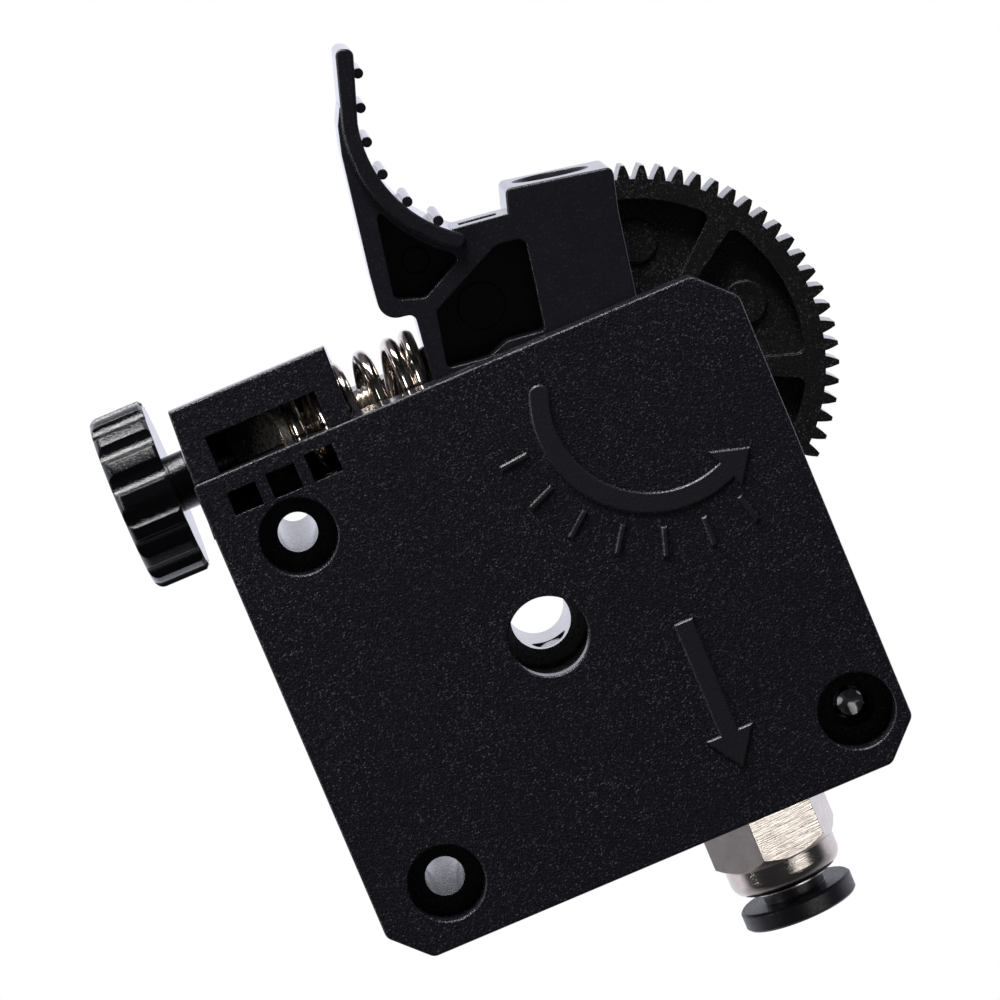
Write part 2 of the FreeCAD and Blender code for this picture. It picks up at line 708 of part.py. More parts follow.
def idler_lever():
    """Sprung lever that carries the idler, with a ridged thumb pad and the filament inlet."""
    nose = rod_along_z(inlet_x, 22.2, 25.5, 1.7)
    arm = prism([(-5.6, -2.0), (lever_edge_x, 15.5), (-0.55, 15.5), (5.9, 2.0)], lever_front, pivot_ring_back)
    hub = rod(0, 0, pivot_ring_radius, lever_front, pivot_ring_back)
    cheek_back = 13.0
    upper_arm = prism([(-4.5, 7.5), (lever_edge_x, 16.0), (-0.55, 16.0), (1.5, 8.5)], lever_front, cheek_back)
    idler_x, idler_z = idler_centre()
    tilt = math.radians(lever_rest_tilt)
    pin_x = idler_x * math.cos(tilt) - idler_z * math.sin(tilt)
    pin_z = idler_x * math.sin(tilt) + idler_z * math.cos(tilt)
    cheeks = []
    for front, back in ((5.2, 6.8), (11.2, cheek_back)):
        cheeks.append(prism([(-1.5, 9.5), (pin_x - 1.5, pin_z - 3.4, 1.0), (pin_x + 3.3, pin_z - 3.0, 2.5),
                             (pin_x + 3.3, pin_z + 3.0, 2.5), (2.0, 23.0), (-1.5, 20.0)], front, back))
    seat = Part.makeCone(2.3, 2.0, seat_length + 0.2,
                         Vector(lever_edge_x + 0.2, y_at(plane_depth), seat_z), Vector(-1, 0, 0))
    lever = fuse_all(lever_web(), nose, arm, upper_arm, hub, *cheeks, seat, thumb_pad())
    funnel = Part.makeCone(1.6, inlet_mouth_radius, mouth_height,
                           Vector(inlet_x, y_at(plane_depth), mouth_bottom), Vector(0, 0, 1))
    cuts = [rod(0, 0, pivot_boss_radius + 0.06, -5, 30),
            rod(0, 0, pivot_ring_radius + 0.35, pivot_ring_back + 0.1, 30),
            rod(pin_x, pin_z, idler_radius + 0.35, 6.8, 11.2),
            rod(pin_x, pin_z, 1.5, 0, 30),
            rod_along_z(inlet_x, 20, 40, 1.1),
            funnel,
            rod_along_z(inlet_x, mouth_bottom + mouth_height - 0.01, 40, inlet_mouth_radius),
            box(1.9, 5.1, shoulder_top - 1.2, shoulder_top + 3, 5.6, 7.8)]
    cuts += lever_pockets(lever_front - 1, pocket_floor)
    cuts += lever_pockets(pocket_floor_back, lever_back + 1)
    lever = lever.cut(cuts)
    marks = [rod(2.05, 26.75, 1.95, pocket_floor - 0.12, pocket_floor + 0.3),
             rod(-2.2, 31.8, 1.1, pocket_floor - 0.12, pocket_floor + 0.3)]
    return lean(fuse_all(lever, *marks))


# ---------------------------------------------------------------- tension screw, nut and spring
def hexagon_along_x(left, right, across_flats, turn=0.0):
    """Hexagonal bar around the tension axis, with corners to front and back when turn is 0."""
    corner = across_flats / 2 / math.cos(math.radians(30))
    centre = Vector(left, y_at(plane_depth), spring_z)
    points = []
    for i in range(6):
        angle = math.radians(60 * i + turn)
        points.append(centre + Vector(0, corner * math.cos(angle), corner * math.sin(angle)))
    return Part.Face(Part.makePolygon(points + [points[0]])).extrude(Vector(right - left, 0, 0))


def tension_wheel():
    """Thumbwheel with a scalloped rim, a dished outer face and a plain hub."""
    centre = Vector(0, y_at(plane_depth), spring_z)
    disc = turned([(wheel_left, 0), (wheel_left, wheel_radius), (wheel_right - 0.3, wheel_radius),
                   (wheel_right, wheel_radius - 0.3), (wheel_right, 0)], centre, (1, 0, 0))
    outer_edge = [e for e in disc.Edges if e.BoundBox.XMax < wheel_left + 0.01 and e.BoundBox.YLength > 1]
    disc = disc.makeFillet(0.8, outer_edge)
    hub = rod_along_x(wheel_right - 1, -21.9, wheel_hub_radius)
    wheel = fuse_all(disc, hub)
    flute_radius = 1.15
    cuts = []
    for i in range(wheel_flutes):
        angle = math.radians(360.0 * i / wheel_flutes + 3.0)
        place = wheel_radius + 0.62
        flute = Part.makeCylinder(flute_radius, 6, centre + Vector(wheel_left - 0.5,
                                  place * math.cos(angle), place * math.sin(angle)), Vector(1, 0, 0))
        cuts.append(flute)
    cuts.append(rod_along_x(-30, 0, 1.5))
    cuts.append(hexagon_along_x(-30, wheel_left + 2.6, 5.52))
    cuts.append(rod_along_x(-30, wheel_left + 0.6, 5.2).cut(rod_along_x(-30, 0, 3.9)))
    return wheel.cut(cuts)


def tension_screw():
    """M3 screw, its hexagonal head held in the thumbwheel."""
    head = hexagon_along_x(wheel_left + 0.5, wheel_left + 2.6, 5.5)
    shank = rod_along_x(wheel_left + 2, screw_end_x, screw_radius)
    return fuse_all(head, shank)


def tension_nut():
    """Chamfered hexagonal nut with a round flange; its flats keep it from turning in the bay."""
    flange_left = nut_left + nut_hex_length
    corner = nut_across_flats / 2 / math.cos(math.radians(30))
    flat = nut_across_flats / 2
    centre = Vector(0, y_at(plane_depth), spring_z)
    limit = turned([(nut_left, 0), (nut_left, flat), (nut_left + nut_chamfer, corner),
                    (flange_left - nut_chamfer, corner), (flange_left, flat), (flange_left, 0)],
                   centre, (1, 0, 0))
    nut = hexagon_along_x(nut_left, flange_left, nut_across_flats).common(limit)
    flange = rod_along_x(flange_left, flange_left + nut_flange, nut_flange_radius)
    return fuse_all(nut, flange).cut(rod_along_x(-30, 0, screw_radius + 0.03))


def tension_spring():
    radius = spring_outer_radius - spring_wire
    length = spring_right - spring_left - 2 * spring_wire
    helix = Part.makeHelix(length / spring_turns, length, radius)
    profile = Part.Wire(Part.makeCircle(spring_wire, Vector(radius, 0, 0), Vector(0, 1, 0)))
    spring = Part.Wire(helix).makePipeShell([profile], True, True)
    spring.rotate(Vector(0, 0, 0), Vector(0, 1, 0), 90)
    spring.translate(Vector(spring_left + spring_wire, y_at(plane_depth), spring_z))
    return spring


# ---------------------------------------------------------------- filament guide and tube coupler
def filament_guide():
    """Insert that leads the filament from the hob down to the tube."""
    body = prism([(8.3, guide_bottom), (8.3, guide_top - 1.2, 0.5), (9.4, guide_top),
                  (12.2, guide_top), (13.2, guide_top - 1.0, 0.5), (13.2, guide_bottom)], 6.0, 12.0)
    spigot = rod_along_z(filament_x, guide_bottom - 2.0, guide_bottom + 0.5, tube_radius)
    bore = rod_along_z(filament_x, guide_bottom - 3, guide_top + 1, 1.0)
    entry = Part.makeCone(0.9, 1.35, 1.2, Vector(filament_x, y_at(plane_depth), guide_top - 1.1),
                          Vector(0, 0, 1))
    return fuse_all(body, spigot).cut([bore, entry])


def coupler_turned(profile):
    """Revolves a (z, radius) profile around the tube's axis."""
    return turned(profile, Vector(filament_x, y_at(plane_depth), 0), (0, 0, 1))


def coupler_body():
    """Plated body: thread, hexagon with chamfered corners, and a domed end."""
    corner = hex_across_flats / 2 / math.cos(math.radians(30))
    points = []
    for i in range(6):
        angle = math.radians(60 * i + hex_turn)
        points.append(Vector(filament_x + corner * math.cos(angle),
                             y_at(plane_depth) + corner * math.sin(angle), coupler_top))
    hexagon = Part.Face(Part.makePolygon(points + [points[0]]))
    hexagon = hexagon.extrude(Vector(0, 0, hex_bottom - coupler_top))
    chamfer = 0.45
    limit = coupler_turned([(coupler_top, 0), (coupler_top, corner - chamfer),
                            (coupler_top - chamfer * 0.6, corner), (hex_bottom + 0.9, corner),
                            (hex_bottom, corner - 1.0), (hex_bottom, 0)])
    hexagon = hexagon.common(limit)
    dome = coupler_turned([(hex_bottom + 1, 0), (hex_bottom + 1, dome_radius),
                           (dome_bottom, dome_radius), (dome_bottom, 0)])
    dome_edge = [e for e in dome.Edges if e.BoundBox.ZMax < dome_bottom + 0.01 and e.BoundBox.XLength > 1
                 and e.BoundBox.YLength > 1]
    dome = dome.makeFillet(dome_curve, dome_edge)
    thread = rod_along_z(filament_x, coupler_top - 1, thread_top - 0.3, 2.97)
    body = fuse_all(hexagon, dome, thread)
    return body.cut([rod_along_z(filament_x, dome_bottom - 1, coupler_bore_top, coupler_bore_radius),
                     rod_along_z(filament_x, -23, -17.5, tube_radius),
                     rod_along_z(filament_x, -18, 0, 1.2)])


def coupler_ring():
    """Pressed-in ring that keeps the collet in the body."""
    inner = collet_neck_radius + 0.1
    lowest = dome_bottom - 0.25
    return coupler_turned([(ring_top, inner), (ring_top, coupler_bore_radius),
                           (lowest, coupler_bore_radius), (lowest, inner)])


def coupler_collet():
    """Release collet: a thin sleeve, a lip held by the ring, a neck and a flange to press."""
    soft = 0.2
    bore = tube_radius + 0.05
    lip_radius = coupler_bore_radius - 0.2
    lip_bottom = ring_top + 0.1
    lip_top = lip_bottom + 0.4
    return coupler_turned([(lip_top + 0.65, bore), (lip_top + 0.65, 2.45), (lip_top, 2.45),
                           (lip_top, lip_radius), (lip_bottom, lip_radius),
                           (lip_bottom, collet_neck_radius), (flange_top, collet_neck_radius),
                           (flange_top, flange_radius - soft), (flange_top - soft, flange_radius),
                           (flange_bottom + soft, flange_radius),
                           (flange_bottom, flange_radius - soft),
                           (flange_bottom, bore + 0.4), (flange_bottom + 0.4, bore)])


def coupler_jaws():
    """Sprung steel ring with a cone of teeth that grips the tube."""
    cone = coupler_turned([(jaws_bottom, coupler_bore_radius - 0.03),
                           (jaws_bottom + 0.15, coupler_bore_radius - 0.03),
                           (jaws_bottom + 0.15, 2.95), (jaws_bottom + 0.7, 2.12),
                           (jaws_bottom + 0.55, 2.08), (jaws_bottom, 2.9)])
    slots = []
    for i in range(8):
        slot = Part.makeBox(1.0, 0.25, 2, Vector(1.9, -0.125, jaws_bottom - 0.5))
        slot.rotate(Vector(0, 0, 0), Vector(0, 0, 1), 45 * i)
        slot.translate(Vector(filament_x, y_at(plane_depth), 0))
        slots.append(slot)
    return cone.cut(slots)


def coupler_seal():
    """Rubber ring between the tube and the body."""
    inner = tube_radius + 0.02
    cord = (coupler_bore_radius - 0.02 - inner) / 2
    return Part.makeTorus(inner + cord, cord,
                          Vector(filament_x, y_at(plane_depth), coupler_bore_top - 0.02 - cord),
                          Vector(0, 0, 1))


# ---------------------------------------------------------------- all pieces
def all_pieces():
    idler_x, idler_z = idler_centre()
    pieces = {
        "housing": housing(),
        "front_lid": front_lid(),
        "lid_screw": lid_screw(),
        "drive_gear": drive_gear(),
        "drive_shaft": drive_shaft(),
        "motor_pinion": motor_pinion(),
        "pinion_grub_screw": pinion_grub_screw(),
        "idler_lever": idler_lever(),
        "idler_axle": rod(idler_x, idler_z, 1.5, 5.3, 12.9),
        "tension_wheel": tension_wheel(),
        "tension_screw": tension_screw(),
        "tension_nut": tension_nut(),
        "tension_spring": tension_spring(),
        "filament_guide": filament_guide(),
        "coupler_body": coupler_body(),
        "coupler_ring": coupler_ring(),
        "coupler_collet": coupler_collet(),
        "coupler_jaws": coupler_jaws(),
        "coupler_seal": coupler_seal(),
    }
    bearings = {
        "front_bearing": bearing(gear_axis, gear_axis, front_bearing_front, small_bearing_width,
                                 shaft_radius, small_bearing_outer, 11),
        "rear_bearing": bearing(gear_axis, gear_axis, rear_bearing_front, small_bearing_width,
                                shaft_radius, small_bearing_outer, 11),
        "idler_bearing": bearing(idler_x, idler_z, 7.0, 4.0, 1.5, idler_radius, 7),
    }
    for name, parts in bearings.items():
        for part_name, shape in parts.items():
            pieces[name + "_" + part_name] = shape
    return pieces


os.makedirs("parts", exist_ok=True)
for node, shape in all_pieces().items():
    if not shape.isValid():
        print("not valid:", node)
    shape.exportStep("parts/" + node + ".step")
    print(node, len(shape.Solids), round(shape.Volume, 2))
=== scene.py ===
import bpy
import json
import math
from mathutils import Matrix, Vector


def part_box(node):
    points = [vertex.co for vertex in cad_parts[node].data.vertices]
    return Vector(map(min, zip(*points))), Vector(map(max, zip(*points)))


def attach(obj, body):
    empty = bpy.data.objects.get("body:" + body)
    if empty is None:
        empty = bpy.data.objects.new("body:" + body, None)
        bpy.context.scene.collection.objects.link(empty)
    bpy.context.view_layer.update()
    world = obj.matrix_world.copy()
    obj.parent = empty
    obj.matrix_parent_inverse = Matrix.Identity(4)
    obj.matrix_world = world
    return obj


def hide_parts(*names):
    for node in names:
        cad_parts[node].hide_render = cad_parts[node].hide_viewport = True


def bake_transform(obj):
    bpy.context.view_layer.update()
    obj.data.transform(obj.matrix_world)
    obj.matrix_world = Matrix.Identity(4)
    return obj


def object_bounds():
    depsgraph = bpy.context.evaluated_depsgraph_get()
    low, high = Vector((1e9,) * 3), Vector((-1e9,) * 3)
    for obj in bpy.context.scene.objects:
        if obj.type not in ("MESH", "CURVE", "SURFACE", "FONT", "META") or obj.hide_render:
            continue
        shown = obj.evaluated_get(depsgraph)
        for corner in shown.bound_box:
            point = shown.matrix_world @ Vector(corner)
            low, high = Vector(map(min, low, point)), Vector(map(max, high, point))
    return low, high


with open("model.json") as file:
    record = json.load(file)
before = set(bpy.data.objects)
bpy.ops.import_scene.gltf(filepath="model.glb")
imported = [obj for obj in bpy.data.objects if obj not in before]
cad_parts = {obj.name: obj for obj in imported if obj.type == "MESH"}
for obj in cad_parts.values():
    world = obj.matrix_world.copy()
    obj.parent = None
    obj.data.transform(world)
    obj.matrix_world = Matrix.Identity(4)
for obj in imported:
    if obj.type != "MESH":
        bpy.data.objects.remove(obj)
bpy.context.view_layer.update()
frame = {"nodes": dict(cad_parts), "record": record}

# Looks of a geared filament extruder. The CAD nodes keep their shapes and get procedural materials.
# The tension spring and the threaded screw are built here, from the boxes of the CAD nodes they replace.
# Lengths are metres; MM turns millimetres into metres.

MM = 0.001
MARK_HEIGHT = 0.16 * MM      # arrows and ticks stand this proud of the lid
LEVER_LEAN = math.radians(7.5)
NODES = frame["nodes"]


# ---------------------------------------------------------------- small helpers
def node_centre(name):
    low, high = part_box(name)
    return (Vector(low) + Vector(high)) / 2


def mesh_piece(name, vertices, faces, smooth=True):
    mesh = bpy.data.meshes.new(name)
    mesh.from_pydata([tuple(v) for v in vertices], [], faces)
    mesh.update()
    if smooth:
        mesh.polygons.foreach_set("use_smooth", [True] * len(mesh.polygons))
    piece = bpy.data.objects.new(name, mesh)
    bpy.context.scene.collection.objects.link(piece)
    return piece


# ---------------------------------------------------------------- shader building blocks
class Shader:
    """A principled material with object-space coordinates in millimetres."""

    def __init__(self, name, colour, roughness, metallic=0.0):
        self.material = bpy.data.materials.new(name)
        self.material.use_nodes = True
        self.tree = self.material.node_tree
        self.surface = self.tree.nodes["Principled BSDF"]
        self.surface.inputs["Base Color"].default_value = (*colour, 1.0)
        self.surface.inputs["Roughness"].default_value = roughness
        self.surface.inputs["Metallic"].default_value = metallic
        place = self.node("ShaderNodeTexCoord")
        scale = self.node("ShaderNodeMapping")
        scale.inputs["Scale"].default_value = (1 / MM, 1 / MM, 1 / MM)
        self.link(place.outputs["Object"], scale.inputs["Vector"])
        self.place = scale.outputs["Vector"]

    def node(self, kind, **settings):
        made = self.tree.nodes.new(kind)
        for key, value in settings.items():
            setattr(made, key, value)
        return made

    def link(self, source, target):
        self.tree.links.new(source, target)

    def noise(self, scale, detail=2.0, roughness=0.5, stretch=None):
        made = self.node("ShaderNodeTexNoise")
        made.inputs["Scale"].default_value = scale
        made.inputs["Detail"].default_value = detail
        made.inputs["Roughness"].default_value = roughness
        self.link(self.stretched(stretch), made.inputs["Vector"])
        return made.outputs["Fac"]

    def cells(self, scale):
        """Distance to the nearest cell's middle."""
        made = self.node("ShaderNodeTexVoronoi")
        made.inputs["Scale"].default_value = scale
        self.link(self.place, made.inputs["Vector"])
        return made.outputs["Distance"]

    def cell_values(self, scale):
        """One random value per cell."""
        made = self.node("ShaderNodeTexVoronoi")
        made.inputs["Scale"].default_value = scale
        self.link(self.place, made.inputs["Vector"])
        split = self.node("ShaderNodeSeparateColor")
        self.link(made.outputs["Color"], split.inputs["Color"])
        return split.outputs["Red"]

    def stretched(self, stretch):
        if stretch is None:
            return self.place
        made = self.node("ShaderNodeMapping")
        made.inputs["Scale"].default_value = stretch
        self.link(self.place, made.inputs["Vector"])
        return made.outputs["Vector"]

    def remap(self, value, low, high, to_low, to_high):
        made = self.node("ShaderNodeMapRange")
        for key, number in (("From Min", low), ("From Max", high), ("To Min", to_low), ("To Max", to_high)):
            made.inputs[key].default_value = number
        self.link(value, made.inputs["Value"])
        return made.outputs["Result"]

    def math(self, operation, first, second):
        made = self.node("ShaderNodeMath", operation=operation)
        for slot, value in zip(made.inputs, (first, second)):
            if isinstance(value, (int, float)):
                slot.default_value = value
            else:
                self.link(value, slot)
        return made.outputs["Value"]

    def mix_colour(self, share, first, second):
        made = self.node("ShaderNodeMix", data_type="RGBA")
        self.link(share, made.inputs["Factor"])
        made.inputs["A"].default_value = (*first, 1.0)
        made.inputs["B"].default_value = (*second, 1.0)
        self.link(made.outputs["Result"], self.surface.inputs["Base Color"])
        return made

    def grazing(self, low=0.78, high=0.97):
        """0 where the surface faces the viewer, 1 where it is seen at a very flat angle."""
        facing = self.node("ShaderNodeLayerWeight")
        facing.inputs["Blend"].default_value = 0.5
        return self.remap(facing.outputs["Facing"], low, high, 0.0, 1.0)

    def set_roughness(self, value, glossy_edge=None):
        """Roughness, optionally falling to glossy_edge at flat viewing angles, as mouldings do."""
        if glossy_edge is not None:
            mixed = self.node("ShaderNodeMix")
            self.link(self.grazing(), mixed.inputs["Factor"])
            self.link(value, mixed.inputs["A"])
            mixed.inputs["B"].default_value = glossy_edge
            value = mixed.outputs["Result"]
        self.link(value, self.surface.inputs["Roughness"])

    def finish(self, height=None, distance=0.02, strength=1.0, soft_edge=0.12):
        """Adds bump from a height in millimetres, and softly rounded edges."""
        normal = None
        if soft_edge:
            edge = self.node("ShaderNodeBevel", samples=6)
            edge.inputs["Radius"].default_value = soft_edge * MM
            normal = edge.outputs["Normal"]
        if height is not None:
            bump = self.node("ShaderNodeBump")
            if isinstance(strength, float):
                bump.inputs["Strength"].default_value = strength
            else:
                self.link(strength, bump.inputs["Strength"])
            bump.inputs["Distance"].default_value = distance * MM
            self.link(height, bump.inputs["Height"])
            if normal is not None:
                self.link(normal, bump.inputs["Normal"])
            normal = bump.outputs["Normal"]
        if normal is not None:
            self.link(normal, self.surface.inputs["Normal"])
        return self.material


# ---------------------------------------------------------------- materials
def calmed(shader, strength):
    """Bump strength that fades at flat viewing angles, so that far edges don't break up."""
    return shader.remap(shader.grazing(0.55, 0.85), 0.0, 1.0, strength, strength * 0.08)


def off_the_marks(shader):
    """0 on the smooth faces of the lid's raised arrows and ticks, 1 on the grained faces."""
    low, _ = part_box("front_lid")
    split = shader.node("ShaderNodeSeparateXYZ")
    shader.link(shader.place, split.inputs["Vector"])
    face = low[1] / MM
    return shader.remap(split.outputs["Y"], face + 0.02, face + 0.12, 0.0, 1.0)


def grained_plastic():
    """Black moulding with a fine spark-eroded grain, its glints painted into the colour as bright specks;
    raised marks are smooth.
    """
    shader = Shader("grained_black_plastic", (0.005, 0.005, 0.008), 0.35)
    shader.surface.inputs["IOR"].default_value = 1.58
    grain = shader.noise(6.5, 2.0, 0.6)
    pits = shader.cells(5.5)
    height = shader.math("ADD", grain, shader.math("MULTIPLY", pits, 0.5))
    specks = shader.remap(shader.cell_values(9.0), 0.88, 1.0, 0.0, 1.0)
    cloudy = shader.remap(shader.noise(0.15, 3.0), 0.35, 0.65, 0.45, 1.0)
    grained = off_the_marks(shader)
    # Painted highlights: bright specks mixed into the base colour stand for glints of the grain; on the
    # raised marks the colour is a little lighter instead.
    painted_glints = shader.math("MULTIPLY", shader.math("MULTIPLY", specks, cloudy), grained)
    share = shader.math("MAXIMUM", painted_glints, shader.remap(grained, 0.0, 1.0, 0.09, 0.0))
    # The pale second colour is the painted glint colour.
    shader.mix_colour(share, (0.0185, 0.0172, 0.0245), (0.18, 0.18, 0.21))
    shader.set_roughness(shader.remap(shader.noise(5.0, 2.0), 0.3, 0.7, 0.22, 0.42), glossy_edge=0.06)
    strength = shader.math("MULTIPLY", calmed(shader, 1.0), shader.remap(grained, 0.0, 1.0, 0.3, 1.0))
    return shader.finish(height, distance=0.07, strength=strength, soft_edge=0.1)


def lever_plastic():
    """Smoother semi-gloss moulding with faint flow marks."""
    shader = Shader("lever_black_plastic", (0.005, 0.005, 0.008), 0.25)
    shader.surface.inputs["IOR"].default_value = 1.55
    grain = shader.noise(7.0, 2.0, 0.6)
    flow = shader.noise(0.5, 2.0, 0.5)
    specks = shader.remap(shader.cell_values(9.0), 0.90, 1.0, 0.0, 1.0)
    shader.set_roughness(shader.remap(flow, 0.35, 0.65, 0.20, 0.32), glossy_edge=0.06)
    height = shader.math("ADD", shader.math("MULTIPLY", grain, 0.7), shader.math("MULTIPLY", flow, 0.4))
    shader.mix_colour(specks, (0.0240, 0.0228, 0.0300), (0.05, 0.05, 0.06))
    return shader.finish(height, distance=0.045, strength=calmed(shader, 0.7), soft_edge=0.2)


def gear_plastic():
    """Moulded gear with a dense pale speckle from its filler."""
    shader = Shader("gear_black_plastic", (0.004, 0.004, 0.005), 0.3)
    shader.surface.inputs["IOR"].default_value = 1.55
    speck = shader.remap(shader.cell_values(9.0), 0.84, 1.0, 0.0, 1.0)
    cloudy = shader.remap(shader.noise(0.3, 3.0), 0.35, 0.65, 0.2, 1.0)
    shader.mix_colour(shader.math("MULTIPLY", speck, cloudy), (0.0190, 0.0190, 0.0205), (0.20, 0.20, 0.20))
    grain = shader.noise(8.0, 2.0, 0.7)
    shader.set_roughness(shader.remap(grain, 0.3, 0.7, 0.20, 0.40), glossy_edge=0.10)
    return shader.finish(grain, distance=0.07, strength=calmed(shader, 0.9), soft_edge=0.12)


def wheel_plastic():
    """Glossy black thumbwheel with a lightly frosted rim."""
    shader = Shader("wheel_black_plastic", (0.005, 0.005, 0.007), 0.15)
    shader.surface.inputs["IOR"].default_value = 1.6
    frost = shader.noise(7.0, 2.0, 0.7)
    shader.set_roughness(shader.remap(frost, 0.3, 0.7, 0.05, 0.13))
    return shader.finish(frost, distance=0.04, strength=calmed(shader, 0.9), soft_edge=0.2)


def collet_plastic():
    shader = Shader("collet_black_plastic", (0.012, 0.012, 0.015), 0.38)
    grain = shader.noise(5.0, 2.0, 0.5)
    shader.set_roughness(shader.remap(grain, 0.3, 0.7, 0.30, 0.46))
    return shader.finish(grain, distance=0.03, strength=0.6, soft_edge=0.12)


def guide_plastic():
    shader = Shader("guide_plastic", (0.014, 0.014, 0.017), 0.4)
    grain = shader.noise(3.0, 2.0, 0.5)
    shader.set_roughness(shader.remap(grain, 0.3, 0.7, 0.32, 0.48))
    return shader.finish(grain, distance=0.02, strength=0.5, soft_edge=0.1)


def nickel(name, colour, roughness, lines=0.0):
    """Plated metal; lines sets how strongly fine turning marks show."""
    shader = Shader(name, colour, roughness, metallic=1.0)
    stain = shader.noise(0.6, 3.0, 0.6)
    turning = shader.noise(1.0, 3.0, 0.7, stretch=(0.3, 0.3, 11.0))
    brushing = shader.noise(1.0, 3.0, 0.7, stretch=(7.0, 7.0, 0.5))
    marks = shader.math("ADD", turning, shader.math("MULTIPLY", brushing, 0.5))
    shader.mix_colour(shader.remap(stain, 0.3, 0.7, 0.0, 1.0), tuple(c * 0.82 for c in colour), colour)
    shader.set_roughness(shader.remap(marks, 0.5, 1.0, roughness * 0.7, roughness * 1.5))
    return shader.finish(turning, distance=0.03, strength=lines, soft_edge=0.08)


def steel(name, colour, roughness, stretch=(1.0, 8.0, 1.0), lines=0.3):
    """Turned or ground steel, its marks stretched across one direction."""
    shader = Shader(name, colour, roughness, metallic=1.0)
    marks = shader.noise(2.0, 2.0, 0.6, stretch=stretch)
    shader.mix_colour(marks, tuple(c * 0.8 for c in colour), colour)
    shader.set_roughness(shader.remap(marks, 0.3, 0.7, roughness * 0.75, roughness * 1.4))
    return shader.finish(marks, distance=0.015, strength=lines, soft_edge=0.05)


def black_steel():
    shader = Shader("black_screw_steel", (0.30, 0.30, 0.31), 0.25, metallic=1.0)
    grain = shader.noise(5.0, 2.0, 0.5)
    shader.set_roughness(shader.remap(grain, 0.3, 0.7, 0.16, 0.34))
    return shader.finish(grain, distance=0.02, strength=0.5, soft_edge=0.06)


def tip_glint_painted_steel():
    """Screw steel, bright behind the front tip; the tip is dark with uneven bright patches, which are painted
    glints.
    """
    shader = Shader("screw_steel_with_painted_tip_glints", (0.90, 0.88, 0.88), 0.35, metallic=1.0)
    tip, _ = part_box("lid_screw")
    front = tip[1] / MM
    split = shader.node("ShaderNodeSeparateXYZ")
    shader.link(shader.place, split.inputs["Vector"])
    behind_tip = shader.remap(split.outputs["Y"], front + 0.5, front + 1.0, 0.0, 1.0)
    uneven = shader.noise(0.9, 1.0, 0.4)
    # Painted highlights: uneven bright patches on the dark front tip stand for light caught by the tip.
    bright = shader.math("MAXIMUM", shader.remap(uneven, 0.49, 0.54, 0.0, 1.0), behind_tip)
    shader.mix_colour(bright, (0.06, 0.06, 0.07), (0.86, 0.84, 0.83))
    shader.set_roughness(shader.remap(uneven, 0.3, 0.7, 0.24, 0.42))
    return shader.finish(uneven, distance=0.12, strength=0.5, soft_edge=0.06)


def rubber():
    shader = Shader("seal_rubber", (0.012, 0.012, 0.012), 0.6)
    grain = shader.noise(6.0, 2.0, 0.5)
    return shader.finish(grain, distance=0.02, strength=0.5, soft_edge=0.0)


def make_materials():
    return {
        "grained_black_plastic": grained_plastic(),
        "lever_black_plastic": lever_plastic(),
        "gear_black_plastic": gear_plastic(),
        "wheel_black_plastic": wheel_plastic(),
        "collet_black_plastic": collet_plastic(),
        "guide_plastic": guide_plastic(),
        "nickel_plate": nickel("nickel_plate", (0.66, 0.59, 0.53), 0.16, 0.45),
        "ring_nickel": nickel("ring_nickel", (0.90, 0.86, 0.80), 0.24, 0.1),
        "bearing_steel": steel("bearing_steel", (0.60, 0.60, 0.62), 0.22),
        "shaft_steel": steel("shaft_steel", (0.55, 0.55, 0.57), 0.25),
        "pinion_steel": steel("pinion_steel", (0.62, 0.61, 0.60), 0.25),
        "spring_steel": steel("spring_steel", (0.86, 0.77, 0.69), 0.11, (3.0, 3.0, 3.0), 0.15),
        "screw_steel": steel("screw_steel", (0.80, 0.73, 0.65), 0.26, (6.0, 1.0, 1.0), 0.3),
        "black_screw_steel": black_steel(),
        "seal_rubber": rubber(),
    }


def dress(piece, material):
    piece.data.materials.clear()
    piece.data.materials.append(material)


def dress_nodes(materials):
    """Gives every CAD node the material of its slot; the lid screw needs its own, with glints painted on its
    tip.
    """
    for part in frame["record"]["subparts"]:
        dress(NODES[part["node"]], materials[part["material_slot"]])
    dress(NODES["lid_screw"], tip_glint_painted_steel())


# ---------------------------------------------------------------- tension spring and screw
def tube_along(points, spine, radius, sides):
    """Vertices and faces of a closed tube around a path; spine holds the coil centre of each point."""
    vertices = []
    faces = []
    last = len(points) - 1
    for i, point in enumerate(points):
        forward = (points[min(i + 1, last)] - points[max(i - 1, 0)]).normalized()
        outward = point - spine[i]
        outward = (outward - forward * outward.dot(forward)).normalized()
        third = forward.cross(outward)
        for k in range(sides):
            angle = 2 * math.pi * k / sides
            vertices.append(point + (outward * math.cos(angle) + third * math.sin(angle)) * radius)
    for i in range(last):
        for k in range(sides):
            following = (k + 1) % sides
            faces.append((i * sides + k, (i + 1) * sides + k,
                          (i + 1) * sides + following, i * sides + following))
    faces.append(tuple(range(sides)))
    faces.append(tuple(range(last * sides, (last + 1) * sides))[::-1])
    return vertices, faces


